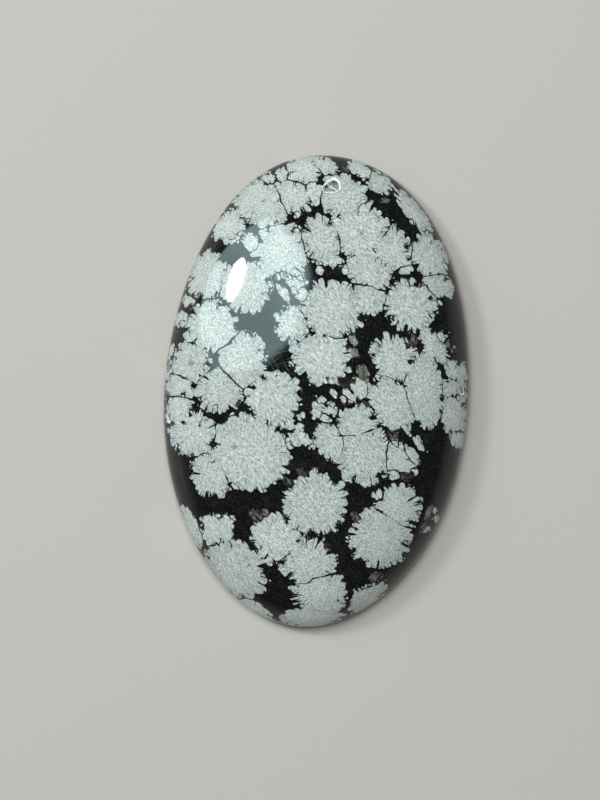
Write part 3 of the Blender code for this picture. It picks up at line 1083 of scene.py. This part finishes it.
# %% Floor
FLOOR_HALF = 1.2
FLOOR_ROUGHNESS = 0.8
floor_material = bpy.data.materials.new("pale_matt_paint")
floor_material.use_nodes = True
floor_shader = floor_material.node_tree.nodes["Principled BSDF"]
floor_shader.inputs["Base Color"].default_value = linear("#bcbab6")
floor_shader.inputs["Roughness"].default_value = FLOOR_ROUGHNESS
floor_mesh = bpy.data.meshes.new("floor")
corners = [(x * FLOOR_HALF, y * FLOOR_HALF, 0) for x, y in ((-1, -1), (1, -1), (1, 1), (-1, 1))]
floor_mesh.from_pydata(corners, [], [(0, 1, 2, 3)])
floor_mesh.materials.append(floor_material)
floor = bpy.data.objects.new("floor", floor_mesh)
bpy.context.scene.collection.objects.link(floor)
print("floor, m:", 2 * FLOOR_HALF, "by", 2 * FLOOR_HALF)

# %% [markdown]
# ## Light
# The dome mirrors a large soft window and a small round lamp in front of it, both at the upper left. Each is placed
# by asking where light has to come from to be mirrored at a given point of the picture.

# %% Helpers for lights
LIGHT_DISTANCE = 0.60


def mirrored_way(column, row):
    """Way from the dome towards what this point of the picture mirrors."""
    spot = dome_point(column, row)
    normal = dome_normal(spot.x, spot.y)
    seen_along = (spot - camera.location).normalized()
    return seen_along - 2 * seen_along.dot(normal) * normal


def add_light(name, shape, start, way, distance, size, brightness, colour):
    """Light in this way from its start, facing back, with this brightness of its face."""
    data = bpy.data.lights.new(name, "AREA")
    data.shape = shape
    data.size, data.size_y = size
    data.energy = brightness * math.pi * size[0] * size[1] * (math.pi / 4 if shape == "ELLIPSE" else 1)
    data.color = linear(colour)[:3]
    light = bpy.data.objects.new(name, data)
    light.location = start + way * distance
    light.rotation_euler = way.to_track_quat("Z", "Y").to_euler()
    light.visible_camera = False
    bpy.context.scene.collection.objects.link(light)
    return light


print("lights stand about", LIGHT_DISTANCE, "m away")

# %% [markdown]
# ### Window
# The window's face has round corners and fades at its border, like a pane behind thin cloth. Three corners are cut off
# along slanting lines, and its upper part is brighter, as the mirrored shape shows. Two panes stand in the same
# place. One is only mirrored, and one only lights the floor and the flakes, so that each can have its own brightness.

# %% Window
WINDOW_IN_PICTURE = (239, 279)
WINDOW_SIZE = (0.43, 0.83)
WINDOW_CUTS = (
    ((0.74, 0.68, 0), 0.68, 0.76),
    ((0.50, 0.87, 0), 0.75, 0.83),
    ((-0.37, -0.49, 0), 0.33, 0.40),
)
WINDOW_ROUNDNESS = 6.0
WINDOW_DIM_SHARE = 0.72
WINDOW_SHEEN = 6.0
WINDOW_GLOW = 1.3


def fade_pane(light):
    """Gives the window's face its brighter part, slanting cuts, round corners and soft border."""
    light.data.use_nodes = True
    face = light.data.node_tree
    pane = add(face, "ShaderNodeNewGeometry", out="Parametric")
    pane = add(face, VECTOR_MATH, pane, (2, 2, 0), (-1, -1, 0), op="MULTIPLY_ADD")
    lit = add(face, VECTOR_MATH, pane, (-1, 0, 0), op="DOT_PRODUCT", out="Value")
    lit = add(face, RANGE, lit, -0.15, 0.45, WINDOW_DIM_SHARE, 1.0, interpolation_type="SMOOTHSTEP")
    for way, start, end in WINDOW_CUTS:
        cut = add(face, VECTOR_MATH, pane, way, op="DOT_PRODUCT", out="Value")
        cut = add(face, RANGE, cut, start, end, 1.0, 0.0, interpolation_type="SMOOTHSTEP")
        lit = add(face, MATH, lit, cut, op="MULTIPLY")
    sides = add(face, SPLIT, add(face, VECTOR_MATH, pane, op="ABSOLUTE"), out=None)
    across = add(face, MATH, sides["X"], WINDOW_ROUNDNESS, op="POWER")
    upward = add(face, MATH, sides["Y"], WINDOW_ROUNDNESS, op="POWER")
    out = add(face, MATH, across, upward, op="ADD")
    out = add(face, MATH, out, 1 / WINDOW_ROUNDNESS, op="POWER")
    fade = add(face, RANGE, out, 0.84, 1.0, 1.0, 0.0, interpolation_type="SMOOTHSTEP")
    fade = add(face, MATH, fade, lit, op="MULTIPLY")
    face.links.new(fade, face.nodes["Emission"].inputs["Strength"])


window_spot, window_way = dome_point(*WINDOW_IN_PICTURE), mirrored_way(*WINDOW_IN_PICTURE)
panes = (("window", WINDOW_GLOW, 1.02, "#f2f9ff"), ("window_sheen", WINDOW_SHEEN, 1.0, "#d9fbff"))
for name, brightness, share, colour in panes:
    away = share * LIGHT_DISTANCE
    pane_light = add_light(name, "RECTANGLE", window_spot, window_way, away, WINDOW_SIZE, brightness, colour)
    pane_light.visible_diffuse = name == "window"
    pane_light.visible_glossy = name == "window_sheen"
    fade_pane(pane_light)
print("window, m:", [round(value, 2) for value in pane_light.location])

# %% [markdown]
# ### Lamp and ceiling
# The lamp hangs just in front of the window and gives the small bright spot. A broad light overhead stands for the
# ceiling, which fills the shadows on the floor. It isn't mirrored, because the dome shows no second window.

# %% Lamp and ceiling
LAMP_IN_PICTURE = (233, 283)
LAMP_SIZE = (0.098, 0.122)
LAMP_GLOW = 38.0
FILL_GLOW = 7.3
FILL_WAY = Vector((-0.10, 0.26, 1.0)).normalized()
FILL_DISTANCE = 0.62
FILL_SIZE = (0.40, 0.40)
lamp_spot, lamp_way = dome_point(*LAMP_IN_PICTURE), mirrored_way(*LAMP_IN_PICTURE)
add_light("lamp", "ELLIPSE", lamp_spot, lamp_way, 0.98 * LIGHT_DISTANCE, LAMP_SIZE, LAMP_GLOW, "#fffdf8")
start = Vector((0, 0, 0))
fill = add_light("ceiling_fill", "ELLIPSE", start, FILL_WAY, FILL_DISTANCE, FILL_SIZE, FILL_GLOW, "#fbfdfa")
fill.visible_glossy = False

# %% [markdown]
# ### Room
# The rest of the room is dim overhead and brighter towards the horizon, where it is about as bright as the far floor.
# The steep rim of the dome mirrors both, and so shows no hard step between them.

# %% Room
HORIZON_GLOW = 0.40
OVERHEAD_GLOW = 0.08
HORIZON_BAND = 0.28
world = bpy.data.worlds.new("dim room")
bpy.context.scene.world = world
world.use_nodes = True
room = world.node_tree
sight = add(room, SPLIT, add(room, "ShaderNodeTexCoord", out="Generated"), out=None)["Z"]
glow = add(room, RANGE, sight, 0.0, HORIZON_BAND, HORIZON_GLOW, OVERHEAD_GLOW, interpolation_type="SMOOTHSTEP")
room.links.new(glow, room.nodes["Background"].inputs["Strength"])
room.nodes["Background"].inputs["Color"].default_value = linear("#fffaf6")
bpy.context.scene.view_settings.view_transform = "Standard"
print("room, horizon against overhead:", round(HORIZON_GLOW / OVERHEAD_GLOW, 1))
